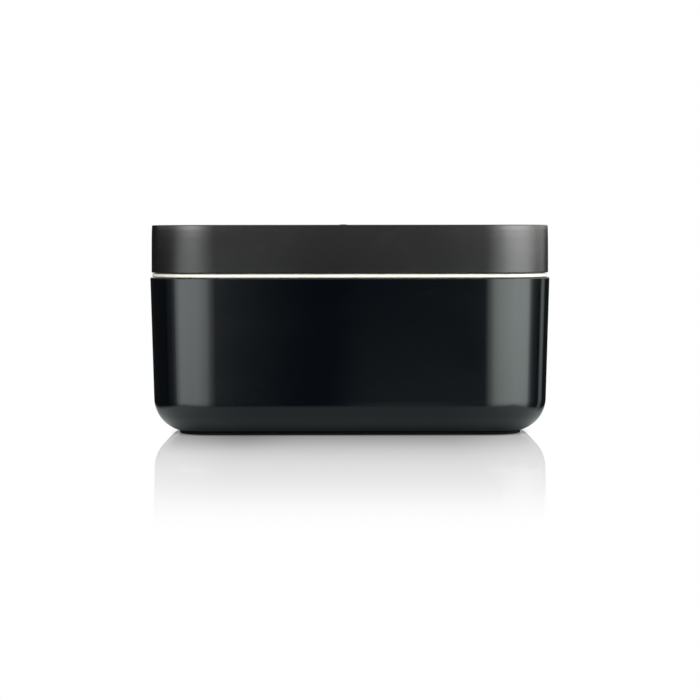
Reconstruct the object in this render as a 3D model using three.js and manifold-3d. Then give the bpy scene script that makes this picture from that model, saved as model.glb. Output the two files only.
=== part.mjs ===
// Lidded lunch box. A drafted steel bowl stands on a rubber foot ring. A plastic tray hangs in its
// mouth, and the tray's rim shows all round as a thin band. A tall soft-touch lid closes the tray.
// Millimetres, +Z up, X along the length. The origin is on the ground under the centre of the box.
import * as THREE from 'three';
import { mergeVertices } from 'three/addons/utils/BufferGeometryUtils.js';
import Module from 'manifold-3d';

const wasm = await Module();
wasm.setup();

// ---- Driving dimensions -------------------------------------------------------------------------

const GAP = 0.3; // clearance between pieces that touch

// Plan of the bowl's rim. Every ring of the box is a parallel offset of this rounded rectangle.
const RIM_HALF_LENGTH = 111;
const RIM_HALF_WIDTH = 60.5;
const RIM_CORNER_RADIUS = 34;
const CORE_X = RIM_HALF_LENGTH - RIM_CORNER_RADIUS; // centres of the four corner arcs
const CORE_Y = RIM_HALF_WIDTH - RIM_CORNER_RADIUS;
const CORNER_STEPS = 9; // flats in each quarter turn

// Bowl
const BOWL_HEIGHT = 86.15;
const BOWL_DRAFT = 1.45; // degrees from vertical
const BOWL_SHEET = 1.0;
const BOWL_BASE_RADIUS = 19.9;
const BOWL_BASE_SWEEP = 71; // degrees of the base curve, from the horizontal
const BOWL_LIP = 4.0; // width of the flat rim turned inwards
const BASE_PANEL_HEIGHT = 2.6; // underside of the raised base panel

// Foot ring
const FOOT_HALF_LENGTH = 95.2;
const FOOT_BAND = 6.6;
const FOOT_EDGE = 0.4;
const FOOT_SHOW = 1.5; // height of the foot that shows below the bowl

// Tray, with heights from the underside of its flange
const TRAY_FLANGE_HALF_LENGTH = 109.9;
const TRAY_FLANGE = 2.25;
const TRAY_BEAD_RADIUS = 0.8;
const TRAY_NECK_HALF_LENGTH = 104.9; // outer face of the wall where it meets the flange
const TRAY_WALL = 1.8;
const TRAY_DRAFT = 2.5;
const TRAY_DEPTH = 32.4;
const TRAY_BASE_RADIUS = 10;
const TRAY_UPSTAND = 7.0; // top of the upstand that enters the lid
const TRAY_UPSTAND_EDGE = 0.3;

// Seal under the tray's flange
const TRAY_SEAL_THICKNESS = 1.5;
const TRAY_SEAL_HEIGHT = 3.6;
const TRAY_SEAL_LIP = 0.25;

// Divider in the tray, held between two pairs of ribs
const DIVIDER_X = 26;
const DIVIDER_THICKNESS = 2.0;
const DIVIDER_TOP = 0.6;
const DIVIDER_NOTCH_HALF_WIDTH = 15;
const DIVIDER_NOTCH_DEPTH = 5;
const RIB_WIDTH = 1.6;
const RIB_REACH = 2.6;
const RIB_HEIGHT = 18;

// Lid, with heights from its lower edge
const LID_HALF_LENGTH = 110.25; // at the lower edge
const LID_TOP_HALF_LENGTH = 109.92;
const LID_HEIGHT = 26.15;
const LID_WALL = 2.0;
const LID_LOWER_EDGE = 0.5;
const LID_UPPER_EDGE = 0.35;

// Inner lid
const LINER_HALF_LENGTH = 107.6;
const LINER_WALL = 1.4;
const LINER_CORNER = 2.0;
const LINER_FOOT = 5.55; // height of its lower edge

// Lid seal
const LID_SEAL_BASE = 0.3;
const LID_SEAL_HALF_LENGTH = 107.8;
const LID_SEAL_THICKNESS = 2.2;
const LID_SEAL_LIP = 0.4;

// Vent plug through the lid's top
const VENT_X = -3.7;
const VENT_HEAD_RADIUS = 2.9;
const VENT_HEAD_RISE = 0.72; // above the lid's top
const VENT_DISH_RADIUS = 4.2;
const VENT_DISH_DEPTH = 0.8;
const VENT_STEM_RADIUS = 1.4;
const VENT_BARB_RADIUS = 2.4;
const VENT_BARB_HEIGHT = 1.8;
const VENT_TRAVEL = 1.5;
const ROUND_STEPS = 20; // flats round the vent

// ---- Materials ----------------------------------------------------------------------------------

const gloss_black = { color: 0x0e1216, roughness: 0.16, metalness: 0.0 };
const foot_rubber = { color: 0x060607, roughness: 0.8, metalness: 0.0 };
const cream_plastic = { color: 0xf5f2e6, roughness: 0.38, metalness: 0.0 };
const soft_grey = { color: 0x2d2d2e, roughness: 0.55, metalness: 0.0 };
const liner_plastic = { color: 0x3b3c3e, roughness: 0.45, metalness: 0.0 };
const seal_silicone = { color: 0xb9b8b2, roughness: 0.6, metalness: 0.0 };

// ---- Shape helpers ------------------------------------------------------------------------------

const radians = THREE.MathUtils.degToRad;

// Points of an arc in a profile. Angles run from the outward direction, downwards, in degrees.
function arc([centreU, centreZ], radius, from, to, steps) {
  return Array.from({ length: steps + 1 }, (_, step) => {
    const angle = radians(from + ((to - from) * step) / steps);
    return [centreU + radius * Math.cos(angle), centreZ - radius * Math.sin(angle)];
  });
}

// A rounded-rectangular solid from a profile of [half length, height] points, counter-clockwise.
// A profile that starts and ends at CORE_X is closed by a flat panel between the corner centres,
// and any other profile closes on itself as a ring.
function roundedSolid(profile) {
  const isRing = profile[0][0] > CORE_X;
  const outline = isRing ? [...profile, profile[0]] : profile;
  const rows = outline.map(([halfLength, z]) => new THREE.Vector2(halfLength - CORE_X, z));
  const perQuadrant = CORNER_STEPS + 1;
  const columns = 4 * perQuadrant;
  const shape = new THREE.LatheGeometry(rows, columns);
  const position = shape.getAttribute('position');
  for (let column = 0; column <= columns; column++) {
    const place = column % columns;
    const quadrant = Math.floor(place / perQuadrant);
    const angle = (quadrant + (place % perQuadrant) / CORNER_STEPS) * (Math.PI / 2);
    const coreX = quadrant === 0 || quadrant === 3 ? CORE_X : -CORE_X;
    const coreY = quadrant < 2 ? CORE_Y : -CORE_Y;
    rows.forEach(({ x: radius, y: z }, row) => {
      const vertex = column * rows.length + row;
      position.setXYZ(vertex, coreX + radius * Math.cos(angle), coreY + radius * Math.sin(angle), z);
    });
  }
  const faces = Array.from(shape.index.array);
  if (!isRing) {
    const corner = (quadrant, row) => quadrant * perQuadrant * rows.length + row;
    const last = rows.length - 1;
    faces.push(corner(0, 0), corner(2, 0), corner(1, 0), corner(0, 0), corner(3, 0), corner(2, 0));
    faces.push(corner(0, last), corner(1, last), corner(2, last));
    faces.push(corner(0, last), corner(2, last), corner(3, last));
  }
  shape.setIndex(faces);
  return welded(shape);
}

// The same shape with its shared vertices merged and its collapsed faces taken out.
function welded(shape) {
  const bare = shape.clone();
  bare.deleteAttribute('normal');
  bare.deleteAttribute('uv');
  const merged = mergeVertices(bare);
  const source = merged.index.array;
  const faces = [];
  for (let i = 0; i < source.length; i += 3) {
    const [a, b, c] = [source[i], source[i + 1], source[i + 2]];
    if (a !== b && b !== c && c !== a) faces.push(a, b, c);
  }
  merged.setIndex(faces);
  return merged;
}

function toSolid(shape) {
  const closed = welded(shape);
  return new wasm.Manifold(
    new wasm.Mesh({
      numProp: 3,
      vertProperties: Float32Array.from(closed.getAttribute('position').array),
      triVerts: Uint32Array.from(closed.index.array),
    }),
  );
}

function toShape(solid) {
  const mesh = solid.getMesh();
  const shape = new THREE.BufferGeometry();
  shape.setAttribute('position', new THREE.BufferAttribute(mesh.vertProperties, 3));
  shape.setIndex(new THREE.BufferAttribute(mesh.triVerts, 1));
  return shape;
}

function part(name, shape, look) {
  const drawn = shape.clone();
  drawn.computeVertexNormals();
  const mesh = new THREE.Mesh(drawn, new THREE.MeshStandardMaterial({ ...look, flatShading: true }));
  mesh.name = name;
  return mesh;
}

// An upright round bar.
function uprightBar(radius, bottom, top) {
  const bar = new THREE.CylinderGeometry(radius, radius, top - bottom, ROUND_STEPS);
  bar.rotateX(Math.PI / 2);
  bar.translate(0, 0, (bottom + top) / 2);
  return bar;
}

// ---- Bowl ---------------------------------------------------------------------------------------

const bowlSlope = Math.tan(radians(BOWL_DRAFT));
const bowlCurveHeight = FOOT_SHOW + BOWL_BASE_RADIUS * Math.sin(radians(BOWL_BASE_SWEEP));
const bowlWallBase = bowlCurveHeight - BOWL_BASE_RADIUS * Math.sin(radians(BOWL_DRAFT));
const bowlCurveCentre = [
  RIM_HALF_LENGTH - (BOWL_HEIGHT - bowlWallBase) * bowlSlope
    - BOWL_BASE_RADIUS * Math.cos(radians(BOWL_DRAFT)),
  bowlCurveHeight,
];

function bowlShell() {
  const wallSetback = BOWL_SHEET / Math.cos(radians(BOWL_DRAFT));
  const innerRadius = BOWL_BASE_RADIUS - BOWL_SHEET;
  const floorHeight = BASE_PANEL_HEIGHT + BOWL_SHEET;
  const floorAngle = THREE.MathUtils.radToDeg(Math.asin((bowlCurveHeight - floorHeight) / innerRadius));
  const lipUnderside = BOWL_HEIGHT - BOWL_SHEET;
  const outerCurve = arc(bowlCurveCentre, BOWL_BASE_RADIUS, BOWL_BASE_SWEEP, BOWL_DRAFT, 8);
  const innerCurve = arc(bowlCurveCentre, innerRadius, BOWL_DRAFT, floorAngle, 7);
  return roundedSolid([
    [CORE_X, BASE_PANEL_HEIGHT],
    [outerCurve[0][0], BASE_PANEL_HEIGHT],
    ...outerCurve,
    [RIM_HALF_LENGTH, BOWL_HEIGHT],
    [RIM_HALF_LENGTH - BOWL_LIP, BOWL_HEIGHT],
    [RIM_HALF_LENGTH - BOWL_LIP, lipUnderside],
    [RIM_HALF_LENGTH - BOWL_SHEET * bowlSlope - wallSetback, lipUnderside],
    ...innerCurve,
    [CORE_X, floorHeight],
  ]);
}

function footRing() {
  const inner = FOOT_HALF_LENGTH - FOOT_BAND;
  const top = BASE_PANEL_HEIGHT - GAP;
  return roundedSolid([
    [inner + FOOT_EDGE, 0],
    [FOOT_HALF_LENGTH - FOOT_EDGE, 0],
    [FOOT_HALF_LENGTH, FOOT_EDGE],
    [FOOT_HALF_LENGTH, top],
    [inner, top],
    [inner, FOOT_EDGE],
  ]);
}

// ---- Tray ---------------------------------------------------------------------------------------

const traySlope = Math.tan(radians(TRAY_DRAFT));
const trayWallFoot = TRAY_BASE_RADIUS * (1 - Math.sin(radians(TRAY_DRAFT))) - TRAY_DEPTH;
const trayCurveCentre = [
  TRAY_NECK_HALF_LENGTH + trayWallFoot * traySlope - TRAY_BASE_RADIUS * Math.cos(radians(TRAY_DRAFT)),
  TRAY_BASE_RADIUS - TRAY_DEPTH,
];
const trayFloor = TRAY_WALL - TRAY_DEPTH;
const trayMouth = TRAY_NECK_HALF_LENGTH - TRAY_WALL; // inner face at the flange and above it

// The tray's hollow, less a clearance all round.
function trayHollowProfile(clearance, top) {
  const radius = TRAY_BASE_RADIUS - TRAY_WALL - clearance;
  return [
    [CORE_X, trayFloor + clearance],
    ...arc(trayCurveCentre, radius, 90, TRAY_DRAFT, 6),
    [trayMouth - clearance, 0],
    [trayMouth - clearance, top],
  ];
}

function trayRibs(outerSolid) {
  const reach = trayMouth - CORE_X + CORE_Y - RIB_REACH;
  const offset = (DIVIDER_THICKNESS + RIB_WIDTH) / 2 + GAP;
  const ribs = [];
  for (const side of [-1, 1]) {
    for (const face of [-1, 1]) {
      const rib = new THREE.BoxGeometry(RIB_WIDTH, TRAY_BASE_RADIUS, RIB_HEIGHT);
      rib.translate(
        DIVIDER_X + face * offset,
        side * (reach + TRAY_BASE_RADIUS / 2 - RIB_REACH),
        trayFloor + RIB_HEIGHT / 2 - TRAY_WALL / 2,
      );
      ribs.push(toSolid(rib).intersect(outerSolid));
    }
  }
  return ribs;
}

function trayBody() {
  const outerFoot = arc(trayCurveCentre, TRAY_BASE_RADIUS, 90, TRAY_DRAFT, 7);
  const bead = TRAY_BEAD_RADIUS;
  const beadCentre = TRAY_FLANGE_HALF_LENGTH - bead;
  const outside = [
    [CORE_X, -TRAY_DEPTH],
    ...outerFoot,
    [TRAY_NECK_HALF_LENGTH, 0],
    ...arc([beadCentre, bead], bead, 90, 0, 3),
    ...arc([beadCentre, TRAY_FLANGE - bead], bead, 0, -90, 3),
    [TRAY_NECK_HALF_LENGTH, TRAY_FLANGE],
    [TRAY_NECK_HALF_LENGTH, TRAY_UPSTAND - TRAY_UPSTAND_EDGE],
    [TRAY_NECK_HALF_LENGTH - TRAY_UPSTAND_EDGE, TRAY_UPSTAND],
  ];
  const inside = trayHollowProfile(0, TRAY_UPSTAND - TRAY_UPSTAND_EDGE).reverse();
  const basin = roundedSolid([...outside, [trayMouth + TRAY_UPSTAND_EDGE, TRAY_UPSTAND], ...inside]);
  const outerSolid = toSolid(roundedSolid([...outside, [CORE_X, TRAY_UPSTAND]]));
  return toShape(trayRibs(outerSolid).reduce((tray, rib) => tray.add(rib), toSolid(basin)));
}

function traySeal() {
  const inner = TRAY_NECK_HALF_LENGTH + GAP;
  const outer = inner + TRAY_SEAL_THICKNESS;
  const top = -GAP;
  const foot = top - TRAY_SEAL_HEIGHT;
  return roundedSolid([
    [inner, foot],
    [outer - TRAY_SEAL_LIP, foot],
    [outer, foot + TRAY_SEAL_HEIGHT / 3],
    [outer, top],
    [inner, top],
  ]);
}

// A wall across the tray that follows its hollow, with a finger notch in its upper edge.
function trayDivider() {
  const half = trayHollowProfile(GAP, DIVIDER_TOP)
    .slice(1)
    .map(([halfLength, z]) => new THREE.Vector2(halfLength - CORE_X + CORE_Y, z));
  const outline = new THREE.Shape([
    ...half,
    ...arc([0, 0], 1, 0, 180, 8).map(
      ([along, depth]) =>
        new THREE.Vector2(along * DIVIDER_NOTCH_HALF_WIDTH, DIVIDER_TOP + depth * DIVIDER_NOTCH_DEPTH),
    ),
    ...half.toReversed().map(({ x, y }) => new THREE.Vector2(-x, y)),
  ]);
  const wall = new THREE.ExtrudeGeometry(outline, { depth: DIVIDER_THICKNESS, bevelEnabled: false });
  wall.rotateX(Math.PI / 2);
  wall.rotateZ(Math.PI / 2);
  wall.translate(-DIVIDER_THICKNESS / 2, 0, 0);
  return welded(wall);
}

// ---- Lid ----------------------------------------------------------------------------------------

function lidCover() {
  const roof = LID_HEIGHT - LID_WALL;
  const shell = roundedSolid([
    [CORE_X, roof],
    [LID_TOP_HALF_LENGTH - LID_WALL, roof],
    [LID_HALF_LENGTH - LID_WALL, 0],
    [LID_HALF_LENGTH - LID_LOWER_EDGE, 0],
    [LID_HALF_LENGTH, LID_LOWER_EDGE],
    [LID_TOP_HALF_LENGTH, LID_HEIGHT - LID_UPPER_EDGE],
    [LID_TOP_HALF_LENGTH - LID_UPPER_EDGE, LID_HEIGHT],
    [CORE_X, LID_HEIGHT],
  ]);
  const dish = uprightBar(VENT_DISH_RADIUS, LID_HEIGHT - VENT_DISH_DEPTH, LID_HEIGHT + 1);
  const hole = uprightBar(VENT_STEM_RADIUS + GAP, roof - 1, LID_HEIGHT + 1);
  return toShape([dish, hole].reduce(
    (cover, tool) => cover.subtract(toSolid(tool.translate(VENT_X, 0, 0))),
    toSolid(shell),
  ));
}

const linerTop = LID_HEIGHT - LID_WALL - GAP;
const linerRoof = linerTop - LINER_WALL;

function lidLiner() {
  const inner = LINER_HALF_LENGTH - LINER_WALL;
  const pan = roundedSolid([
    [CORE_X, linerRoof],
    [inner - LINER_CORNER, linerRoof],
    [inner, linerRoof - LINER_CORNER],
    [inner, LINER_FOOT],
    [LINER_HALF_LENGTH, LINER_FOOT],
    [LINER_HALF_LENGTH, linerTop - LINER_CORNER],
    [LINER_HALF_LENGTH - LINER_CORNER, linerTop],
    [CORE_X, linerTop],
  ]);
  const hole = uprightBar(VENT_STEM_RADIUS + GAP, linerRoof - 1, linerTop + 1);
  return toShape(toSolid(pan).subtract(toSolid(hole.translate(VENT_X, 0, 0))));
}

function lidSeal() {
  const outer = LID_SEAL_HALF_LENGTH;
  const inner = outer - LID_SEAL_THICKNESS;
  const top = LINER_FOOT - GAP;
  const lipHeight = (LID_SEAL_BASE + top) / 2;
  return roundedSolid([
    [inner + LID_SEAL_LIP, LID_SEAL_BASE],
    [outer, LID_SEAL_BASE],
    [outer, top],
    [inner, top],
    [inner, lipHeight + LID_SEAL_LIP],
    [inner - LID_SEAL_LIP, lipHeight],
    [inner, lipHeight - LID_SEAL_LIP],
  ]);
}

// A mushroom plug: domed head, stem and a barb that stops it under the inner lid.
function ventPlug() {
  const seat = LID_HEIGHT - VENT_DISH_DEPTH + GAP;
  const crown = LID_HEIGHT + VENT_HEAD_RISE;
  const barbTop = linerRoof - GAP - VENT_TRAVEL;
  const profile = [
    [0, barbTop - VENT_BARB_HEIGHT],
    [VENT_STEM_RADIUS, barbTop - VENT_BARB_HEIGHT],
    [VENT_BARB_RADIUS, barbTop],
    [VENT_STEM_RADIUS, barbTop],
    [VENT_STEM_RADIUS, seat],
    [VENT_HEAD_RADIUS, seat],
    ...[0, 30, 60].map((angle) => [
      VENT_HEAD_RADIUS * Math.cos(radians(angle)),
      seat + GAP + (crown - seat - GAP) * Math.sin(radians(angle)),
    ]),
    [0, crown],
  ];
  const plug = new THREE.LatheGeometry(profile.map((point) => new THREE.Vector2(...point)), ROUND_STEPS);
  plug.rotateX(Math.PI / 2);
  return welded(plug);
}

// ---- Assembly -----------------------------------------------------------------------------------

const box = new THREE.Group();
box.add(part('bowl_shell', bowlShell(), gloss_black));
box.add(part('foot_ring', footRing(), foot_rubber));

const tray = new THREE.Group();
tray.position.z = BOWL_HEIGHT + GAP;
tray.add(part('tray', trayBody(), cream_plastic));
tray.add(part('tray_seal', traySeal(), seal_silicone));
const divider = part('tray_divider', trayDivider(), soft_grey);
divider.position.x = DIVIDER_X;
tray.add(divider);
box.add(tray);

const lid = new THREE.Group();
lid.position.z = tray.position.z + TRAY_FLANGE + GAP;
lid.add(part('lid_cover', lidCover(), soft_grey));
lid.add(part('lid_liner', lidLiner(), liner_plastic));
lid.add(part('lid_seal', lidSeal(), seal_silicone));
const vent = part('vent_plug', ventPlug(), soft_grey);
vent.position.x = VENT_X;
lid.add(vent);
box.add(lid);

export default box;
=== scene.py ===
"""Gloss black lunch box with a lift-out tray and a tall soft-touch lid, in a bright studio.

Every piece is swept from a filleted profile round the box's own plan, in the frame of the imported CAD
model, and replaces the CAD node of the same name. Lengths in the tables are millimetres.
"""
import math

import bmesh
import bpy
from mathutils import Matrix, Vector


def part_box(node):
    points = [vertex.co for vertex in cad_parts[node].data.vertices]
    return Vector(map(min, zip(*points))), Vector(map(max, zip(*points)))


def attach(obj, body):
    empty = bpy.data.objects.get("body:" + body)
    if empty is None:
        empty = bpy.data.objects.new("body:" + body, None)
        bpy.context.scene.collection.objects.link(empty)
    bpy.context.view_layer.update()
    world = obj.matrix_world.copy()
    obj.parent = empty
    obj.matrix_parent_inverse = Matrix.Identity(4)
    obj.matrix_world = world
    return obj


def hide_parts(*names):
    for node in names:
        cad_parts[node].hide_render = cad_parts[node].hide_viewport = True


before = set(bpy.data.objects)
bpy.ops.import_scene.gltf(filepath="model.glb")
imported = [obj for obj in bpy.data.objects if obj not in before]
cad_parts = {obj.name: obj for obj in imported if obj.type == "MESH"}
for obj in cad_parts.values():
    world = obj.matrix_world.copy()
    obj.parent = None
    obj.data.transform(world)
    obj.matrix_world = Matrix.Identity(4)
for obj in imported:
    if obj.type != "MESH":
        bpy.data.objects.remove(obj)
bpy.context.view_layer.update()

MM = 0.001
scene = bpy.context.scene

# ---- Camera ---------------------------------------------------------------------------------------

CAMERA_DISTANCE = 1.100
CAMERA_HEIGHT = 0.10745
CAMERA_X = 0.0001
CAMERA_TILT = 3.29  # degrees below the horizon
CAMERA_LENS = 99.25  # on a 36 mm sensor
CAMERA_ROLL = 0.06  # degrees

camera_data = bpy.data.cameras.new("camera")
camera_data.lens = CAMERA_LENS
camera_data.sensor_width = 36
camera = bpy.data.objects.new("camera", camera_data)
camera.location = (CAMERA_X, -CAMERA_DISTANCE, CAMERA_HEIGHT)
camera.rotation_euler = (math.radians(90 - CAMERA_TILT), math.radians(CAMERA_ROLL), 0)
scene.collection.objects.link(camera)
scene.camera = camera
scene.view_settings.view_transform = "Standard"

# ---- Plan of the box ------------------------------------------------------------------------------

# Every ring of the box is a parallel offset of one rounded rectangle. Its corners ease into the
# straight sides, so that the curvature has no step.
RIM_HALF_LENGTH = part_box("bowl_shell")[1].x / MM
RIM_HALF_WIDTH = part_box("bowl_shell")[1].y / MM
CORNER_RADIUS = 34.0
CORE_X = RIM_HALF_LENGTH - CORNER_RADIUS
CORE_Y = RIM_HALF_WIDTH - CORNER_RADIUS
EASE_RADIUS = 65.0  # added to the radius of curvature where a corner meets a side
EASE_ANGLE = math.radians(5)  # over which that dies away
EASE_FROM = 12.0  # rings nearer the corner's centre than this are eased less
CORNER_STEPS = 44
LONG_STEPS = 16
SHORT_STEPS = 6
FINE = 720  # steps of the numerical integral


def corner_easing():
    """The displacement from a plain arc, and the angle of the normal, at each step round a corner."""
    quarter = math.pi / 2
    width = quarter / FINE
    angles = [(i + 0.5) * width for i in range(FINE)]
    bulge = [math.exp(-t / EASE_ANGLE) + math.exp((t - quarter) / EASE_ANGLE) for t in angles]
    start = sum(b * math.sin(t) for b, t in zip(bulge, angles)) * width
    half = [(b, t) for b, t in zip(bulge, angles) if t < quarter / 2]
    middle = sum(b * math.cos(t + quarter / 2) for b, t in half) * width
    root = math.sqrt(0.5)
    relief = EASE_RADIUS * (root * start - middle) / (root - (1 - root))
    setback = EASE_RADIUS * start - relief
    x, y, length = 0.0, -setback, 0.0
    path = [(0.0, 0.0, x, y)]
    for b, t in zip(bulge, angles):
        extra = EASE_RADIUS * b - relief
        x -= extra * math.sin(t) * width
        y += extra * math.cos(t) * width
        length += (CORNER_RADIUS + extra) * width
        path.append((length, t + width / 2, x, y))
    steps = []
    for i in range(CORNER_STEPS + 1):
        wanted = length * i / CORNER_STEPS
        steps.append(min(path, key=lambda row: abs(row[0] - wanted))[1:])
    return steps


EASING = corner_easing()


def plan_ring(offset, core_x=CORE_X, core_y=CORE_Y, eased=True, sides=(SHORT_STEPS, LONG_STEPS)):
    """Points of the ring at that offset from the corner centres, anticlockwise from the +X side."""
    ease = min(1.0, offset / EASE_FROM) if eased else 0.0
    corners = []
    for quadrant in range(4):
        turn = quadrant * math.pi / 2
        centre_x = core_x if quadrant in (0, 3) else -core_x
        centre_y = core_y if quadrant in (0, 1) else -core_y
        c, s = round(math.cos(turn)), round(math.sin(turn))
        arc = []
        for angle, ease_x, ease_y in EASING:
            dx, dy = ease_x * ease, ease_y * ease
            arc.append((centre_x + c * dx - s * dy + offset * math.cos(turn + angle),
                        centre_y + s * dx + c * dy + offset * math.sin(turn + angle)))
        corners.append(arc)
    points = []
    for quadrant in range(4):
        arc, after = corners[quadrant], corners[(quadrant + 1) % 4]
        points += arc
        (x0, y0), (x1, y1) = arc[-1], after[0]
        count = sides[1] if quadrant % 2 == 0 else sides[0]
        points += [(x0 + (x1 - x0) * i / count, y0 + (y1 - y0) * i / count) for i in range(1, count)]
    return points


# ---- Mesh helpers ---------------------------------------------------------------------------------

def filleted(corners, closed=False):
    """Profile points from corners of (across, height, fillet radius), with every corner rounded."""
    count = len(corners)
    points = []
    for i, (u, z, radius) in enumerate(corners):
        here = Vector((u, z))
        if radius == 0 or (not closed and i in (0, count - 1)):
            points.append((u, z))
            continue
        into = (here - Vector(corners[i - 1][:2])).normalized()
        out = (Vector(corners[(i + 1) % count][:2]) - here).normalized()
        turn = math.acos(max(-1.0, min(1.0, into.dot(out))))
        side = 1 if into.x * out.y - into.y * out.x > 0 else -1
        start = here - into * radius * math.tan(turn / 2)
        centre = start + Vector((-into.y, into.x)) * side * radius
        steps = max(2, math.ceil(math.degrees(turn) / (2.5 if radius > 5 else 11)))
        spoke = start - centre
        for step in range(steps + 1):
            a = side * turn * step / steps
            points.append((centre.x + spoke.x * math.cos(a) - spoke.y * math.sin(a),
                           centre.y + spoke.x * math.sin(a) + spoke.y * math.cos(a)))
    return points


def supported(points, closed=False, guard=0.35, longest=7.0):
    """The same profile with rows added beside its fillets and along its long stretches."""
    out = []
    pairs = zip(points, points[1:] + points[:1]) if closed else zip(points, points[1:])
    for (u0, z0), (u1, z1) in pairs:
        out.append((u0, z0))
        length = math.hypot(u1 - u0, z1 - z0)
        if length > 4 * guard:
            stops = [guard / length, 1 - guard / length]
            inner = max(0, math.ceil(length / longest) - 1)
            stops[1:1] = [(i + 1) / (inner + 1) for i in range(inner)]
            out += [(u0 + (u1 - u0) * t, z0 + (z1 - z0) * t) for t in stops]
    if not closed:
        out.append(points[-1])
    return out


def mesh_object(name, bm):
    """An object from a bmesh, welded, with its faces pointing outwards and smooth."""
    bmesh.ops.remove_doubles(bm, verts=bm.verts, dist=1e-7)
    bmesh.ops.dissolve_degenerate(bm, edges=bm.edges, dist=1e-7)
    bmesh.ops.recalc_face_normals(bm, faces=bm.faces)
    mesh = bpy.data.meshes.new(name)
    bm.to_mesh(mesh)
    bm.free()
    obj = bpy.data.objects.new(name, mesh)
    scene.collection.objects.link(obj)
    return obj


def add_rings(bm, rings, closed):
    """Quads between neighbouring rings of points, given in metres."""
    rows = [[bm.verts.new(point) for point in ring] for ring in rings]
    pairs = zip(rows, rows[1:] + rows[:1]) if closed else zip(rows, rows[1:])
    for low, high in pairs:
        count = len(low)
        for i in range(count):
            j = (i + 1) % count
            bm.faces.new((low[i], low[j], high[j], high[i]))
    return rows


def add_core_panel(bm, z, core_x, core_y):
    """The flat rectangle between the four corner centres."""
    grid = [[bm.verts.new((core_x * (2 * i / LONG_STEPS - 1) * MM, core_y * (2 * j / SHORT_STEPS - 1) * MM,
                           z * MM)) for j in range(SHORT_STEPS + 1)] for i in range(LONG_STEPS + 1)]
    for i in range(LONG_STEPS):
        for j in range(SHORT_STEPS):
            bm.faces.new((grid[i][j], grid[i + 1][j], grid[i + 1][j + 1], grid[i][j + 1]))


def swept(name, corners, closed=False, guard=0.35):
    """A solid from profile corners of (half length, height, fillet), carried round the plan of the box.
    An open profile starts and ends at the corner centres, where a flat panel closes it."""
    profile = supported(filleted(corners, closed), closed, guard)
    bm = bmesh.new()
    rings = [[(x * MM, y * MM, z * MM) for x, y in plan_ring(u - CORE_X)] for u, z in profile]
    add_rings(bm, rings, closed)
    if not closed:
        add_core_panel(bm, profile[0][1], CORE_X, CORE_Y)
        add_core_panel(bm, profile[-1][1], CORE_X, CORE_Y)
    return mesh_object(name, bm)


def turned(name, corners, centre, steps=72):
    """A solid of revolution about an upright axis. The profile starts and ends on the axis."""
    profile = supported(filleted(corners), guard=0.1, longest=2.0)
    angles = [2 * math.pi * i / steps for i in range(steps)]
    bm = bmesh.new()
    rings = [[(centre[0] + r * math.cos(a) * MM, centre[1] + r * math.sin(a) * MM, z * MM) for a in angles]
             for r, z in profile]
    add_rings(bm, rings, closed=False)
    return mesh_object(name, bm)


def combined(obj, tool, operation):
    """obj after a boolean with tool, which is then removed."""
    modifier = obj.modifiers.new("cut", "BOOLEAN")
    modifier.operation = operation
    modifier.object = tool
    modifier.solver = "MANIFOLD"
    depsgraph = bpy.context.evaluated_depsgraph_get()
    old = obj.data
    mesh = bpy.data.meshes.new_from_object(obj.evaluated_get(depsgraph))
    obj.modifiers.clear()
    obj.data = mesh
    mesh.name = obj.name
    bpy.data.meshes.remove(old)
    spent = tool.data
    bpy.data.objects.remove(tool)
    bpy.data.meshes.remove(spent)
    return obj


def finished(obj, node, body, material, sharp=38):
    """Shades, paints and mounts a piece in place of its CAD node."""
    mesh = obj.data
    mesh.materials.clear()
    mesh.materials.append(material)
    mesh.shade_smooth()
    mesh.set_sharp_from_angle(angle=math.radians(sharp))
    weighted = obj.modifiers.new("normals", "WEIGHTED_NORMAL")
    weighted.mode = "FACE_AREA_WITH_ANGLE"
    weighted.keep_sharp = True
    obj.name = node + "_surface"
    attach(obj, body)
    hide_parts(node)
    return obj


# ---- Materials ------------------------------------------------------------------------------------

class Nodes:
    """Adds nodes to a tree. A value is a number, a colour or another node's output."""

    def __init__(self, tree):
        self.nodes, self.links = tree.nodes, tree.links

    def join(self, value, socket):
        if isinstance(value, (int, float)):
            socket.default_value = value
        elif isinstance(value, tuple):
            socket.default_value = (*value, 1)
        else:
            self.links.new(value, socket)

    def maths(self, operation, *values):
        node = self.nodes.new("ShaderNodeMath")
        node.operation = operation
        for value, socket in zip(values, node.inputs):
            self.join(value, socket)
        return node.outputs["Value"]

    def ranged(self, value, low, high, to_low, to_high):
        """value taken from low..high to to_low..to_high, smoothly and clamped."""
        node = self.nodes.new("ShaderNodeMapRange")
        node.interpolation_type = "SMOOTHSTEP"
        for socket, number in zip(("Value", "From Min", "From Max", "To Min", "To Max"),
                                  (value, low, high, to_low, to_high)):
            self.join(number, node.inputs[socket])
        return node.outputs["Result"]


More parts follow.
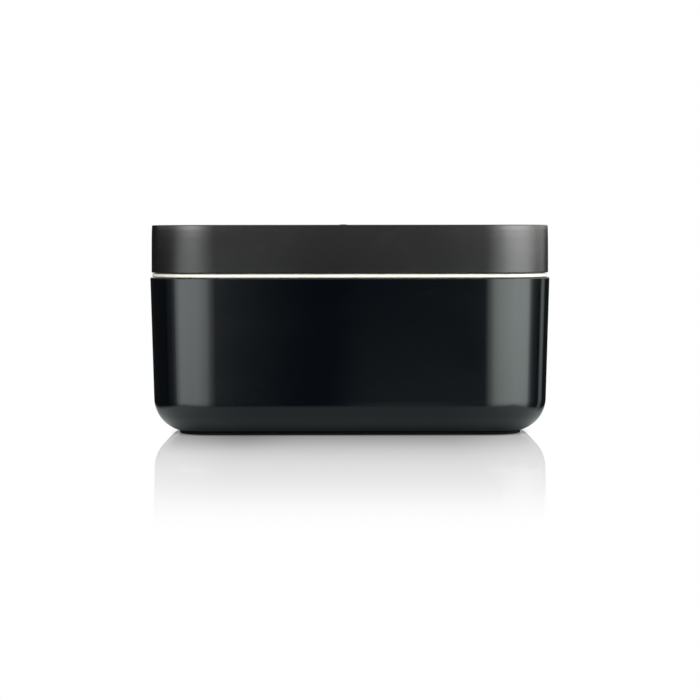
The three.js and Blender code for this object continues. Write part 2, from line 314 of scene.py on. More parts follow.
class Surface(Nodes):
    """A principled material with helpers for the nodes behind it. Patterns are in metres."""

    def __init__(self, name, **sockets):
        self.material = bpy.data.materials.new(name)
        self.material.use_nodes = True
        super().__init__(self.material.node_tree)
        self.shader = self.nodes["Principled BSDF"]
        for socket, value in sockets.items():
            self.shader.inputs[socket.replace("_", " ")].default_value = value
        self.place = self.nodes.new("ShaderNodeTexCoord").outputs["Object"]

    def noise(self, scale, detail=3.0, roughness=0.5, stretch=(1, 1, 1)):
        mapping = self.nodes.new("ShaderNodeMapping")
        mapping.inputs["Scale"].default_value = stretch
        self.links.new(self.place, mapping.inputs["Vector"])
        texture = self.nodes.new("ShaderNodeTexNoise")
        texture.inputs["Scale"].default_value = scale
        texture.inputs["Detail"].default_value = detail
        texture.inputs["Roughness"].default_value = roughness
        self.links.new(mapping.outputs["Vector"], texture.inputs["Vector"])
        return texture.outputs["Fac"]

    def blend(self, factor, first, second):
        """The first colour where factor is 0 and the second where it is 1."""
        node = self.nodes.new("ShaderNodeMix")
        node.data_type = "RGBA"
        self.join(factor, node.inputs["Factor"])
        self.join(first, node.inputs[6])
        self.join(second, node.inputs[7])
        return node.outputs[2]

    def attribute(self, name):
        node = self.nodes.new("ShaderNodeAttribute")
        node.attribute_name = name
        return node.outputs["Fac"]

    def colour(self, value):
        self.links.new(value, self.shader.inputs["Base Color"])

    def roughness(self, value):
        self.links.new(value, self.shader.inputs["Roughness"])

    def bumps(self, *layers):
        """Layers of (pattern, depth in metres), the first one innermost."""
        normal = None
        for pattern, depth in layers:
            node = self.nodes.new("ShaderNodeBump")
            node.inputs["Distance"].default_value = depth
            self.links.new(pattern, node.inputs["Height"])
            if normal is not None:
                self.links.new(normal, node.inputs["Normal"])
            normal = node.outputs["Normal"]
        self.links.new(normal, self.shader.inputs["Normal"])


def enamel():
    """Gloss black lacquer over steel: fine orange peel, faint smears and a little dust. The inside, where
    the attribute "inside" is 1, has a satin food-safe coat."""
    s = Surface("bowl_enamel", IOR=1.5)
    clouds = s.ranged(s.noise(9, 3, 0.55), 0.3, 0.7, 0, 1)
    dust = s.ranged(s.noise(2600, 1), 0.76, 0.80, 0, 1)
    deep = s.blend(clouds, (0.0003, 0.0010, 0.0020), (0.0005, 0.0014, 0.0025))
    inside = s.attribute("inside")
    satin = s.blend(clouds, (0.012, 0.013, 0.014), (0.015, 0.016, 0.017))
    s.colour(s.blend(dust, s.blend(inside, deep, satin), (0.02, 0.02, 0.02)))
    smears = s.noise(14, 4, 0.6, stretch=(1, 1, 2.2))
    gloss = s.maths("ADD", s.ranged(smears, 0.35, 0.75, 0.10, 0.13), s.maths("MULTIPLY", dust, 0.2))
    s.roughness(s.maths("ADD", gloss, s.maths("MULTIPLY", inside, 0.20)))
    s.bumps((s.noise(320, 2), 0.000004), (s.noise(1500, 2), 0.0000015))
    return s.material


def soft_touch():
    """Matte soft-touch plastic: a very fine grain, and slightly smoother where hands have been."""
    s = Surface("lid_soft_touch", IOR=1.5)
    clouds = s.ranged(s.noise(16, 4, 0.55), 0.3, 0.7, 0, 1)
    s.colour(s.blend(clouds, (0.0050, 0.0050, 0.0049), (0.0062, 0.0061, 0.0060)))
    grain = s.noise(5200, 2, 0.6)
    worn = s.ranged(s.noise(22, 3, 0.6), 0.35, 0.75, 0.25, 0.22)
    s.roughness(s.maths("ADD", worn, s.ranged(grain, 0.3, 0.7, -0.02, 0.03)))
    s.bumps((s.noise(420, 2), 0.000003), (grain, 0.000002))
    return s.material


def moulded(name, light, dark, roughness, grain_scale, grain_depth, subsurface=0.0, **sockets):
    """Injection-moulded plastic or rubber: flow clouds in its colour, a fine texture from the mould."""
    s = Surface(name, **sockets)
    if subsurface:
        s.shader.inputs["Subsurface Weight"].default_value = subsurface
        s.shader.inputs["Subsurface Radius"].default_value = (1.0, 0.8, 0.5)
        s.shader.inputs["Subsurface Scale"].default_value = 0.0012
    s.colour(s.blend(s.ranged(s.noise(26, 4, 0.55), 0.3, 0.7, 0, 1), dark, light))
    patches = s.noise(40, 3, 0.6)
    s.roughness(s.ranged(patches, 0.3, 0.7, roughness - 0.035, roughness + 0.035))
    s.bumps((s.noise(240, 2), grain_depth * 1.5), (s.noise(grain_scale, 2, 0.6), grain_depth))
    return s.material


BOWL_ENAMEL = enamel()
LID_SOFT_TOUCH = soft_touch()
FOOT_RUBBER = moulded("foot_rubber", (0.0020, 0.0020, 0.0021), (0.0014, 0.0014, 0.0015), 0.80, 3800, 0.000006,
                      Specular_IOR_Level=0.12)
TRAY_PLASTIC = moulded("tray_plastic", (0.76, 0.735, 0.665), (0.735, 0.71, 0.64), 0.34, 3000, 0.0000015,
                       subsurface=0.15, IOR=1.46)
SEAL_SILICONE = moulded("seal_silicone", (0.50, 0.50, 0.48), (0.44, 0.44, 0.42), 0.55, 3400, 0.000003,
                        subsurface=0.2, IOR=1.41)
DIVIDER_PLASTIC = moulded("divider_plastic", (0.062, 0.062, 0.060), (0.052, 0.052, 0.051), 0.42,
                          3600, 0.000003)
LINER_PLASTIC = moulded("liner_plastic", (0.050, 0.051, 0.052), (0.042, 0.043, 0.044), 0.45, 3200, 0.000003)
VENT_SILICONE = moulded("vent_silicone", (0.030, 0.030, 0.030), (0.024, 0.024, 0.024), 0.60, 3600, 0.000003,
                        IOR=1.41)

# ---- Bowl -----------------------------------------------------------------------------------------

RIM_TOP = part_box("bowl_shell")[1].z / MM
RIM_DEPTH = 4.0  # how far the rim reaches inwards
WALL_SLOPE = math.tan(math.radians(1.45))
SHEET = 1.0  # thickness of the steel
BASE_RADIUS = 18.6
BASE_PANEL = 2.6  # height of the underside between the foot's walls
BASE_EDGE = (95.0, 1.45)  # lowest point of the base curve, beside the foot
BASE_ANGLE = math.radians(14.5)  # of the base curve where it ends, from the horizontal
COVE_ANGLE = math.radians(35)  # the same on the inside, where a cove takes over
COVE_FILLET = 3.0
FOOT_WIDTH = 6.6


def wall_at(z, inset=0.0):
    """Half length of the box at that height of its wall, or that far inside it."""
    return RIM_HALF_LENGTH - (RIM_TOP - z) * WALL_SLOPE - inset


def wall_meets(inset, point, angle):
    """Where the wall's line, moved inwards by inset, meets the line through the point at that angle."""
    across = inset / math.cos(math.atan(WALL_SLOPE))
    slope = math.tan(angle)
    u, z = point
    corner = (wall_at(0, across) + (z - slope * u) * WALL_SLOPE) / (1 - slope * WALL_SLOPE)
    return corner, z + slope * (corner - u)


def bowl():
    """The pressed shell. The base curve keeps its centre on the inside until the cove takes over."""
    edge_u, edge_z = BASE_EDGE
    outer_u, outer_z = wall_meets(0, BASE_EDGE, BASE_ANGLE)
    over_edge = (edge_u, edge_z + BASE_RADIUS / math.cos(BASE_ANGLE))
    centre_u, centre_z = wall_meets(BASE_RADIUS, over_edge, BASE_ANGLE)
    inside = BASE_RADIUS - SHEET
    tangent = (centre_u + inside * math.sin(COVE_ANGLE), centre_z - inside * math.cos(COVE_ANGLE))
    inner_u, inner_z = wall_meets(SHEET, tangent, COVE_ANGLE)
    floor = BASE_PANEL + SHEET
    lip = RIM_TOP - SHEET
    floor_u = inner_u - (inner_z - floor) / math.tan(COVE_ANGLE)
    shell = swept("bowl_shell", [
        (CORE_X, BASE_PANEL, 0),
        (edge_u, BASE_PANEL, 0.4),
        (edge_u, edge_z, 0.25),
        (outer_u, outer_z, BASE_RADIUS),
        (RIM_HALF_LENGTH, RIM_TOP, 0.3),
        (RIM_HALF_LENGTH - RIM_DEPTH, RIM_TOP, 0.42),
        (RIM_HALF_LENGTH - RIM_DEPTH, lip, 0.42),
        (wall_at(lip, SHEET), lip, 0.8),
        (inner_u, inner_z, inside),
        (floor_u, floor, COVE_FILLET),
        (CORE_X, floor, 0),
    ])
    mask = shell.data.attributes.new("inside", "FLOAT", "POINT")
    for vertex in shell.data.vertices:
        x, y, z = vertex.co
        outward = Vector((math.copysign(max(abs(x) - CORE_X * MM, 0), x),
                          math.copysign(max(abs(y) - CORE_Y * MM, 0), y), 0))
        faces_in = outward.length > 0 and vertex.normal.dot(outward.normalized()) < -0.2
        on_floor = vertex.normal.z > 0.3 and z < 0.5 * RIM_TOP * MM
        mask.data[vertex.index].value = float(z < lip * MM and (faces_in or on_floor))
    return shell


def foot():
    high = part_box("foot_ring")[1]
    outer, top = high.x / MM, high.z / MM
    inner = outer - FOOT_WIDTH
    corners = [(inner, 0, 0.45)]
    for centre in (inner + 2.2, inner + 4.4):  # two grip grooves
        corners += [(centre - 0.55, 0, 0.2), (centre - 0.35, 0.55, 0.15), (centre + 0.35, 0.55, 0.15),
                    (centre + 0.55, 0, 0.2)]
    corners += [(outer, 0, 0.45), (outer, top, 0.25), (inner, top, 0.25)]
    return swept("foot_ring", corners, closed=True, guard=0.12)


# ---- Tray -----------------------------------------------------------------------------------------

FLANGE_LOW = RIM_TOP + 0.45
FLANGE_TOP = FLANGE_LOW + 1.95
FLANGE_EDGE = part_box("tray")[1].x / MM
TRAY_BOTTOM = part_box("tray")[0].z / MM
TRAY_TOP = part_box("tray")[1].z / MM
NECK = 104.9  # half length of the tray where it goes through its flange
TRAY_WALL = 1.8
TRAY_SLOPE = math.tan(math.radians(2.5))
TRAY_RADIUS = 10.0  # of its base curve
DIVIDER_X = 26.0
DIVIDER_THICKNESS = 2.0
DIVIDER_CLEARANCE = 0.3
RIB_WIDTH = 1.6
RIB_LENGTH = 10.0  # most of it is sunk in the tray's wall
RIB_INNER = 47.4  # distance from the middle of the box to a rib's inner end
RIB_TOP = TRAY_BOTTOM + TRAY_WALL + 17.1


def tray_outside(inset=0.0):
    """The tray's outer profile under the flange, that far inside the real face."""
    low = TRAY_BOTTOM + inset
    return [(CORE_X, low, 0),
            (NECK - inset - (FLANGE_LOW - low) * TRAY_SLOPE, low, TRAY_RADIUS - inset),
            (NECK - inset, FLANGE_LOW, 0.6)]


def tray():
    """The tray with two pairs of ribs, one pair at each end of the divider."""
    floor = TRAY_BOTTOM + TRAY_WALL
    mouth = NECK - TRAY_WALL
    foot_u = mouth - (FLANGE_LOW - floor) * TRAY_SLOPE
    body = swept("tray", [
        *tray_outside(),
        (FLANGE_EDGE, FLANGE_LOW, 0.8),
        (FLANGE_EDGE, FLANGE_TOP, 0.8),
        (NECK, FLANGE_TOP, 0.5),
        (NECK, TRAY_TOP, 0.7),
        (mouth, TRAY_TOP, 0.7),
        (mouth, FLANGE_LOW, 0.6),
        (foot_u, floor, TRAY_RADIUS - TRAY_WALL),
        (CORE_X, floor, 0),
    ])
    offset = (DIVIDER_THICKNESS + RIB_WIDTH) / 2 + DIVIDER_CLEARANCE
    mid_wall = TRAY_WALL / 2
    for side in (-1, 1):
        for face in (-1, 1):
            core = swept("core", [*tray_outside(mid_wall)[:2], (NECK - mid_wall, FLANGE_LOW, 0),
                                  (CORE_X, FLANGE_LOW, 0)])
            combined(core, rib(DIVIDER_X + face * offset, side), "INTERSECT")
            combined(body, core, "UNION")
    return body


def rib(x, side):
    """An upright rounded rib that holds the divider, rooted in the tray's wall."""
    radius = RIB_WIDTH / 2
    middle = side * (RIB_INNER + RIB_LENGTH / 2)
    profile = filleted([(0, TRAY_BOTTOM, 0), (radius, TRAY_BOTTOM, 0), (radius, RIB_TOP, 0.5),
                        (0, RIB_TOP, 0)])
    bm = bmesh.new()
    rings = []
    for r, z in profile:
        ring = plan_ring(r, 0.0, RIB_LENGTH / 2 - radius, eased=False, sides=(2, 1))
        rings.append([((x + px) * MM, (middle + py) * MM, z * MM) for px, py in ring])
    rows = add_rings(bm, rings, closed=False)
    bm.faces.new(rows[0])
    bm.faces.new(rows[-1])
    return mesh_object("rib", bm)


def tray_seal():
    low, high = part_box("tray_seal")
    outer, bottom, top = high.x / MM, low.z / MM, high.z / MM
    inner = outer - 1.5
    body = outer - 0.65
    corners = [(inner, bottom, 0.25), (body, bottom, 0.25)]
    for centre in (bottom + 1.0, bottom + 2.35):  # two wiping lips
        corners += [(body, centre - 0.45, 0.12), (outer, centre - 0.05, 0.12), (outer, centre + 0.2, 0.12),
                    (body, centre + 0.45, 0.12)]
    corners += [(body, top - 0.5, 0.1), (outer, top - 0.4, 0.15), (outer, top, 0.1), (inner, top, 0.15)]
    return swept("tray_seal", corners, closed=True, guard=0.1)


def divider():
    """A wall across the tray that follows its hollow, with a finger notch in its upper edge."""
    low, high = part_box("tray_divider")
    half, bottom, top = high.y / MM, low.z / MM, high.z / MM
    foot_y = half - (FLANGE_LOW - bottom) * TRAY_SLOPE
    foot_fillet = TRAY_RADIUS - TRAY_WALL - DIVIDER_CLEARANCE
    notch_top, notch_floor, depth = 16.5, 12.0, 5.0
    outline = supported(filleted([
        (foot_y, bottom, foot_fillet), (half, top, 1.6),
        (notch_top, top, 2.5), (notch_floor, top - depth, 5.0), (-notch_floor, top - depth, 5.0),
        (-notch_top, top, 2.5), (-half, top, 1.6), (-foot_y, bottom, foot_fillet),
    ], closed=True), closed=True, guard=0.3, longest=6.0)
    thick = (high.x - low.x) / MM / 2
    edge = 0.6  # radius of the rounded edge, in five steps
    turns = [math.radians(90 * i / 5) for i in range(6)]
    section = [(edge * (1 - math.sin(t)), thick - edge + edge * math.cos(t)) for t in reversed(turns)]
    section = [(inset, -x) for inset, x in reversed(section)][:-1] + [(0, -thick + edge)] + section
    count = len(outline)
    inward = []
    for i, (y, z) in enumerate(outline):
        (y0, z0), (y1, z1) = outline[i - 1], outline[(i + 1) % count]
        inward.append(Vector((z0 - z1, y1 - y0)).normalized())
    bm = bmesh.new()
    rings = [[((DIVIDER_X + x) * MM, (y + n.x * inset) * MM, (z + n.y * inset) * MM)
              for (y, z), n in zip(outline, inward)] for inset, x in section]
    rows = add_rings(bm, rings, closed=False)
    caps = [bm.faces.new(rows[0]), bm.faces.new(rows[-1])]
    bm.normal_update()
    bmesh.ops.triangulate(bm, faces=caps, ngon_method="EAR_CLIP")
    return mesh_object("tray_divider", bm)


# ---- Lid ------------------------------------------------------------------------------------------

LID_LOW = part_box("lid_cover")[0].z / MM
LID_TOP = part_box("lid_cover")[1].z / MM
LID_HALF_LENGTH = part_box("lid_cover")[1].x / MM
LID_WALL = 2.0
LID_DRAW = 0.40  # how far the wall leans in at its top
VENT_X = (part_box("vent_plug")[0].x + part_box("vent_plug")[1].x) / 2
HOLE_RADIUS = 1.7  # of the vent
DISH_RADIUS = 4.2  # of the recess round it
LINER_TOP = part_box("lid_liner")[1].z / MM
LINER_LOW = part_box("lid_liner")[0].z / MM
LINER_HALF_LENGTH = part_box("lid_liner")[1].x / MM
LINER_WALL = 1.4


def lid_cover():
    """The lid's outside, whose wall curves slightly inwards, with a dish and a hole for the vent."""
    roof = LID_TOP - LID_WALL
    height = LID_TOP - LID_LOW
    crown = [(LID_HALF_LENGTH - inset, LID_LOW + height * t, 30.0)
             for t, inset in ((0.45, 0.05), (0.75, 0.14), (0.90, 0.24))]
    cover = swept("lid_cover", [
        (CORE_X, roof, 0),
        (LID_HALF_LENGTH - LID_DRAW - LID_WALL, roof, 1.2),
        (LID_HALF_LENGTH - LID_WALL, LID_LOW, 0.3),
        (LID_HALF_LENGTH, LID_LOW, 0.5),
        *crown,
        (LID_HALF_LENGTH - LID_DRAW, LID_TOP, 0.45),
        (CORE_X, LID_TOP, 0),
    ])
    dish = turned("dish", [
        (0, roof - 1, 0), (HOLE_RADIUS, roof - 1, 0), (HOLE_RADIUS, LID_TOP - 0.8, 0.15),
        (DISH_RADIUS, LID_TOP - 0.8, 0.4), (DISH_RADIUS, LID_TOP - 0.25, 0.1),
        (DISH_RADIUS + 0.25, LID_TOP + 0.02, 0.1), (DISH_RADIUS + 0.25, LID_TOP + 1, 0),
        (0, LID_TOP + 1, 0)], (VENT_X, 0))
    return combined(cover, dish, "DIFFERENCE")


def lid_liner():
    inner = LINER_HALF_LENGTH - LINER_WALL
    roof = LINER_TOP - LINER_WALL
    rib_u, rib_drop = 92.0, 0.9  # a stiffening ring under the roof
    pan = swept("lid_liner", [
        (CORE_X, roof, 0),
        (rib_u - 0.9, roof, 0.25), (rib_u - 0.6, roof - rib_drop, 0.3), (rib_u + 0.6, roof - rib_drop, 0.3),
        (rib_u + 0.9, roof, 0.25),
        (inner, roof, 2.4),
        (inner, LINER_LOW, 0.3),
        (LINER_HALF_LENGTH, LINER_LOW, 0.3),
        (LINER_HALF_LENGTH, LINER_TOP, 3.0),
        (CORE_X, LINER_TOP, 0),
    ])
    bore = turned("bore", [
        (0, roof - 1, 0), (HOLE_RADIUS + 0.3, roof - 1, 0), (HOLE_RADIUS + 0.3, roof - 0.02, 0.05),
        (HOLE_RADIUS, roof + 0.28, 0.05), (HOLE_RADIUS, LINER_TOP + 1, 0),
        (0, LINER_TOP + 1, 0)], (VENT_X, 0))
    return combined(pan, bore, "DIFFERENCE")


def lid_seal():
    low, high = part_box("lid_seal")
    outer, bottom, top = high.x / MM, low.z / MM, high.z / MM
    inner, lip = outer - 2.2, outer - 2.6
    corners = [(inner + 0.4, bottom, 0.3), (outer, bottom, 0.3), (outer, top, 0.3), (inner, top, 0.3)]
    for centre in (bottom + 3.3, bottom + 1.9):  # two lips against the tray's upstand
        corners += [(inner + 0.25, centre + 0.55, 0.15), (lip, centre + 0.12, 0.1), (lip, centre - 0.12, 0.1),
                    (inner + 0.25, centre - 0.55, 0.15)]
    return swept("lid_seal", corners, closed=True, guard=0.1)


def vent_plug():
    low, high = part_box("vent_plug")
    bottom, crown = low.z / MM, high.z / MM
    seat = LID_TOP - 0.5
    barb_top = bottom + 1.8
    stem, barb, head = 1.4, 2.4, 2.9
    return turned("vent_plug", [
        (0, bottom, 0), (stem, bottom, 0.3), (barb, barb_top - 0.25, 0.2), (barb, barb_top, 0.1),
        (stem, barb_top, 0.1), (stem, seat, 0.15), (head, seat, 0.15), (head - 0.08, crown - 0.55, 0.35),
        (head - 1.0, crown - 0.08, 1.6), (0, crown, 0)], (VENT_X, 0))


finished(bowl(), "bowl_shell", "bowl", BOWL_ENAMEL)
finished(foot(), "foot_ring", "bowl", FOOT_RUBBER)
finished(tray(), "tray", "tray", TRAY_PLASTIC)
finished(tray_seal(), "tray_seal", "tray", SEAL_SILICONE)
finished(divider(), "tray_divider", "divider", DIVIDER_PLASTIC)
finished(lid_cover(), "lid_cover", "lid", LID_SOFT_TOUCH)
finished(lid_liner(), "lid_liner", "lid", LINER_PLASTIC)
finished(lid_seal(), "lid_seal", "lid", SEAL_SILICONE)
finished(vent_plug(), "vent_plug", "vent", VENT_SILICONE)

# ---- Studio ---------------------------------------------------------------------------------------

WALL_DISTANCE = 1.3  # from the box to the light panels
FLOOR_HALF = 4.0
FLOOR_DROP = 0.00005  # keeps the floor clear of the foot
FLAG_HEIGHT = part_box("lid_cover")[1].z


class Stage(Nodes):
    """Node helpers for the floor, the light panels and the world, none of which is the object."""

    def __init__(self, tree):
        super().__init__(tree)
        self.nodes.clear()
        self.rays = self.nodes.new("ShaderNodeLightPath").outputs

    def ramp(self, value, stops):
        """Brightness along 0..1 through the stops, which are (position in any unit, brightness) pairs."""
        node = self.nodes.new("ShaderNodeValToRGB")
        node.color_ramp.interpolation = "EASE"
        elements = node.color_ramp.elements
        while len(elements) < len(stops):
            elements.new(0.5)
        start, end = stops[0][0], stops[-1][0]
        for element, (position, level) in zip(elements, stops):
            element.position = (position - start) / (end - start)
            element.color = (level, level, level, 1)
        self.links.new(value, node.inputs["Fac"])
        return node.outputs["Color"]

    def parts(self, vector):
        node = self.nodes.new("ShaderNodeSeparateXYZ")
        self.links.new(vector, node.inputs["Vector"])
        return node.outputs["X"], node.outputs["Y"], node.outputs["Z"]

    def light(self, strength, colour=(1, 1, 1)):
        node = self.nodes.new("ShaderNodeEmission")
        self.join(colour, node.inputs["Color"])
        self.join(strength, node.inputs["Strength"])
        return node.outputs["Emission"]

    def flagged(self):
        """How much of a panel's light gets past a flag over the box, from 1 to near 0. It cuts the light that
        comes down on the lid's top, and on anything held above it, as that would bleach it. Walls below that
        height aren't shaded. Incoming here is the direction in which the light leaves the panel."""
        geometry = self.nodes.new("ShaderNodeNewGeometry").outputs
        rise = self.parts(geometry["Incoming"])[2]
        panel_z = self.parts(geometry["Position"])[2]
        lit_z = self.maths("MULTIPLY_ADD", rise, self.rays["Ray Length"], panel_z)
        above = self.ranged(lit_z, FLAG_HEIGHT - 0.0003, FLAG_HEIGHT, 0, 1)
        falling = self.ranged(rise, -0.03, -0.09, 0, 0.98)
        return self.maths("SUBTRACT", 1, self.maths("MULTIPLY", above, falling))

    def shader(self, kind, **sockets):
        node = self.nodes.new(kind)
        for name, value in sockets.items():
            self.join(value, node.inputs[name])
        return node.outputs[0]

    def mix(self, factor, first, second):
        node = self.nodes.new("ShaderNodeMixShader")
        for value, socket in zip((factor, first, second), node.inputs):
            self.join(value, socket)
        return node.outputs["Shader"]

    def output(self, kind, surface):
        self.links.new(surface, self.nodes.new(kind).inputs["Surface"])


def light_panel(name, across, up, colour, strength):
    """A curved soft light round the box, which the camera doesn't see. across holds (azimuth, brightness)
    pairs, in degrees from the front with + to the right, and up holds (height, brightness) pairs."""
    columns, rows = 24, 8
    bm = bmesh.new()
    uv = bm.loops.layers.uv.new("uv")
    grid = []
    for i in range(columns + 1):
        angle = math.radians(across[0][0] + (across[-1][0] - across[0][0]) * i / columns)
        column = []
        for j in range(rows + 1):
            x, y = WALL_DISTANCE * math.sin(angle), -WALL_DISTANCE * math.cos(angle)
            z = up[0][0] + (up[-1][0] - up[0][0]) * j / rows
            column.append(bm.verts.new((x, y, z)))
        grid.append(column)
    for i in range(columns):
        for j in range(rows):
            face = bm.faces.new((grid[i][j], grid[i + 1][j], grid[i + 1][j + 1], grid[i][j + 1]))
            for loop, (a, b) in zip(face.loops, ((i, j), (i + 1, j), (i + 1, j + 1), (i, j + 1))):
                loop[uv].uv = (a / columns, b / rows)
    mesh = bpy.data.meshes.new(name)
    bm.to_mesh(mesh)
    bm.free()
    panel = bpy.data.objects.new(name, mesh)
    scene.collection.objects.link(panel)
    material = bpy.data.materials.new(name)
    material.use_nodes = True
    s = Stage(material.node_tree)
    u, v, _ = s.parts(s.nodes.new("ShaderNodeTexCoord").outputs["UV"])
    level = s.maths("MULTIPLY", s.maths("MULTIPLY", s.ramp(u, across), s.ramp(v, up)), strength)
    level = s.maths("MULTIPLY", level, s.flagged())
    clear = s.shader("ShaderNodeBsdfTransparent")
    s.output("ShaderNodeOutputMaterial", s.mix(s.rays["Is Singular Ray"], s.light(level, colour), clear))
    mesh.materials.append(material)
    panel.visible_camera = False


COOL = (0.944, 1.0, 0.997)
GREENISH = (0.905, 1.0, 0.964)
NEUTRAL = (0.98, 0.98, 0.97)
LOW = ((-0.62, 0.0), (-0.55, 0.3), (-0.45, 0.42), (-0.30, 0.62), (-0.20, 0.73), (-0.14, 0.81), (-0.09, 0.90),
       (-0.01, 1.0), (0.05, 1.0), (0.10, 0.0))
MIDDLE = ((0.05, 0.0), (0.09, 1.0), (0.19, 1.0), (0.23, 0.0))
UPPER = ((0.17, 0.0), (0.22, 1.0), (0.34, 1.0), (0.39, 0.0))
HIGH = ((0.33, 0.0), (0.40, 1.0), (0.68, 1.0), (0.80, 0.0))
light_panel("left_light", (
    (-92, 0.0), (-86, 0.03), (-78, 0.05), (-70.5, 0.13), (-63, 0.62), (-57, 0.96), (-50, 1.0), (-26, 0.99),
    (-20, 0.87), (-14.6, 0.72), (-10.3, 0.29), (-6, 0.045), (-3, 0.01), (0, 0.0)), LOW, COOL, 3.6)
light_panel("right_light", (
    (6, 0.0), (7.7, 0.03), (11.2, 0.3), (16.3, 0.68), (23.2, 0.84), (32.7, 0.93), (49, 1.0), (60, 0.96),
    (70, 0.90), (76, 0.78), (81, 0.31), (86, 0.10), (93, 0.035), (104, 0.01), (110, 0.0)), LOW, GREENISH, 5.0)
light_panel("right_strip", ((104, 0.0), (117, 1.0), (130, 0.0)), LOW, (0.93, 1, 1), 0.85)
light_panel("left_upper", (
    (-128, 0.0), (-112, 0.08), (-88, 0.12), (-72, 0.20), (-62, 0.38), (-54, 0.62), (-46, 0.84), (-34, 1.0),
    (-26, 0.90), (-18, 0.50), (-10, 0.18), (-4, 0.0)), UPPER, (1.0, 0.99, 0.99), 11.6)
light_panel("right_middle", (
    (22, 0.0), (30, 0.45), (42, 0.78), (56, 1.0), (72, 1.0), (84, 0.80), (98, 0.40), (115, 0.22), (136, 0.0)),
    MIDDLE, NEUTRAL, 7.4)
light_panel("right_upper", (
    (4, 0.0), (10, 0.12), (18, 0.42), (26, 0.68), (34, 0.90), (48, 1.0), (64, 0.90), (78, 0.60), (92, 0.30),
    (112, 0.22), (132, 0.22), (150, 0.18), (160, 0.0)), UPPER, NEUTRAL, 17.5)
light_panel("right_high", (
    (46, 0.0), (60, 0.35), (72, 0.70), (88, 1.0), (110, 0.95), (128, 0.75), (140, 0.0)), HIGH, NEUTRAL, 2.8)
light_panel("back_light", ((166, 0.0), (173, 1.0), (187, 1.0), (194, 0.0)),
            ((-0.62, 0.0), (-0.46, 1.0), (0.59, 1.0), (0.75, 0.0)), (1, 1, 1), 0.7)


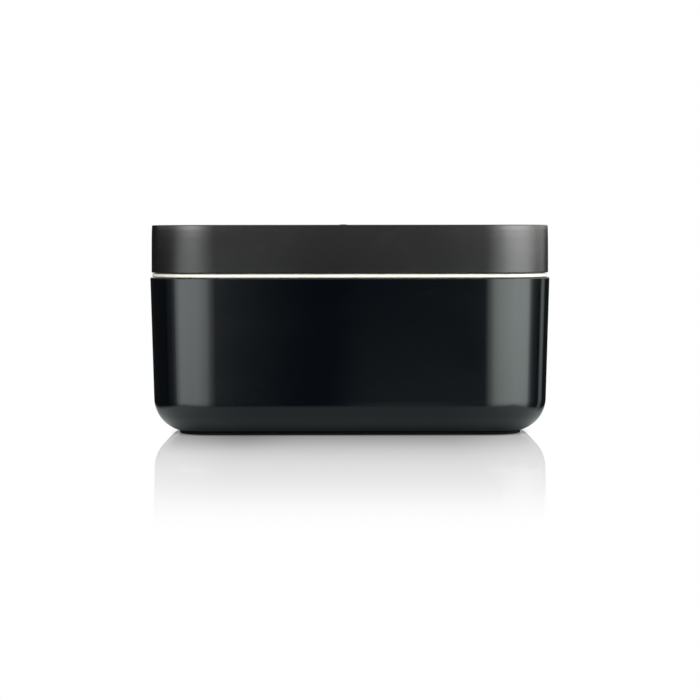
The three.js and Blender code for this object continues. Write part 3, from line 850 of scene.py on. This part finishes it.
def studio_floor():
    """White and overexposed to the camera, with a painted contact shadow along the foot and a fading mirror
    image of the box near its foot.
    The box itself sees a small pale sheet round its foot, glowing with painted light at its ends and painted
    shade beside the foot, and past that the light panels reach down."""
    mesh = bpy.data.meshes.new("studio_floor")
    h = FLOOR_HALF
    mesh.from_pydata([(-h, -h, 0), (h, -h, 0), (h, h, 0), (-h, h, 0)], [], [(0, 1, 2, 3)])
    floor = bpy.data.objects.new("studio_floor", mesh)
    floor.location.z = -FLOOR_DROP
    scene.collection.objects.link(floor)
    material = bpy.data.materials.new("studio_floor")
    material.use_nodes = True
    mesh.materials.append(material)
    s = Stage(material.node_tree)
    foot_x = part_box("foot_ring")[1].x
    x, y, _ = s.parts(s.nodes.new("ShaderNodeNewGeometry").outputs["Position"])
    wide, deep = s.maths("ABSOLUTE", x), s.maths("ABSOLUTE", y)
    over_x = s.maths("MAXIMUM", s.maths("SUBTRACT", wide, CORE_X * MM), 0)
    over_y = s.maths("MAXIMUM", s.maths("SUBTRACT", deep, CORE_Y * MM), 0)
    reach = s.maths("SQRT", s.maths("ADD", s.maths("POWER", over_x, 2), s.maths("POWER", over_y, 2)))
    away = s.maths("MAXIMUM", s.maths("SUBTRACT", reach, foot_x - CORE_X * MM), 0)  # from the foot

    # What the camera sees: white with a painted contact shadow along the foot, and a mirror that fades away
    # from the foot and past the box's ends.
    fade = s.maths("EXPONENT", s.maths("DIVIDE", away, -0.185))
    cut = s.ranged(away, 0.20, 0.36, 1, 0)
    fresnel = s.nodes.new("ShaderNodeFresnel")
    fresnel.inputs["IOR"].default_value = 1.5
    glaze = s.maths("MULTIPLY", fresnel.outputs["Fac"], 1.18)
    mirror = s.maths("MULTIPLY", s.maths("MULTIPLY", fade, cut), glaze)
    mirror = s.maths("MULTIPLY", mirror, s.ranged(wide, 0.05, 0.095, 1, 0.78))
    left = s.ranged(x, -0.085, -0.02, 1.28, 1.065)
    left_end = s.ranged(x, -0.106, -0.090, 0.84, 1)
    beside_foot = s.maths("MULTIPLY", left, left_end)
    mirror = s.maths("MULTIPLY", mirror, s.ranged(away, 0.03, 0.115, beside_foot, 0.97))
    mirror = s.maths("MINIMUM", mirror, 0.96)
    gloss = s.shader("ShaderNodeBsdfGlossy", Color=(1, 1, 1), Roughness=0.0)
    # painted shadow: the floor's white is dimmed to 0.45 within 7 mm of the foot
    painted_contact_shadow = s.ranged(away, 0.0, 0.007, 0.45, 1)
    seen = s.mix(mirror, s.light(painted_contact_shadow), gloss)

    # What the box sees: a glowing sheet with painted light, brighter at its ends, and painted shade, darker
    # beside the foot, with a soft border.
    half_x, half_y, middle_x, border = 0.142, 0.103, -0.004, 0.014
    # painted light: the sheet glows brighter towards the box's ends and towards the front
    ends = s.ranged(wide, 0.05, 0.125, 0, 0.54)
    width = s.maths("ADD", s.maths("MULTIPLY", ends, s.ranged(y, -0.045, 0.0, 1, 0.1)), 0.46)
    # painted shade: the sheet's glow drops to 0.12 within 14 mm of the foot
    near = s.maths("MULTIPLY", width, s.ranged(away, 0.0, 0.014, 0.12, 1))
    past_x = s.maths("SUBTRACT", s.maths("ABSOLUTE", s.maths("SUBTRACT", x, middle_x)), half_x)
    past_y = s.maths("SUBTRACT", deep, half_y)
    past = s.ranged(s.maths("MAXIMUM", past_x, past_y), -border, border, 0, 1)
    sheet = s.mix(past, s.light(near, (0.92, 1.0, 0.99)), s.shader("ShaderNodeBsdfTransparent"))
    s.output("ShaderNodeOutputMaterial", s.mix(s.rays["Is Camera Ray"], sheet, seen))


def studio_world():
    """White to the camera and in the floor's mirror, dim to the box, with a paler lower front."""
    world = bpy.data.worlds.new("studio")
    scene.world = world
    world.use_nodes = True
    s = Stage(world.node_tree)
    _, y, z = s.parts(s.nodes.new("ShaderNodeTexCoord").outputs["Generated"])
    front = s.maths("MULTIPLY", s.ranged(y, -0.8, -0.95, 0, 1), s.ranged(z, -0.06, -0.20, 0.0, 0.24))
    overhead = s.ranged(z, 0.25, 0.85, 0, 1.6)
    level = s.maths("ADD", s.maths("ADD", front, overhead), s.ranged(y, -0.3, 0.9, 0.05, 0.02))
    white = s.maths("MAXIMUM", s.rays["Is Camera Ray"], s.rays["Is Singular Ray"])
    background = s.nodes.new("ShaderNodeBackground")
    background.inputs["Color"].default_value = (1, 1, 1, 1)
    s.links.new(s.maths("MAXIMUM", white, level), background.inputs["Strength"])
    s.output("ShaderNodeOutputWorld", background.outputs["Background"])
    world.cycles.sampling_method = "NONE"


studio_floor()
studio_world()
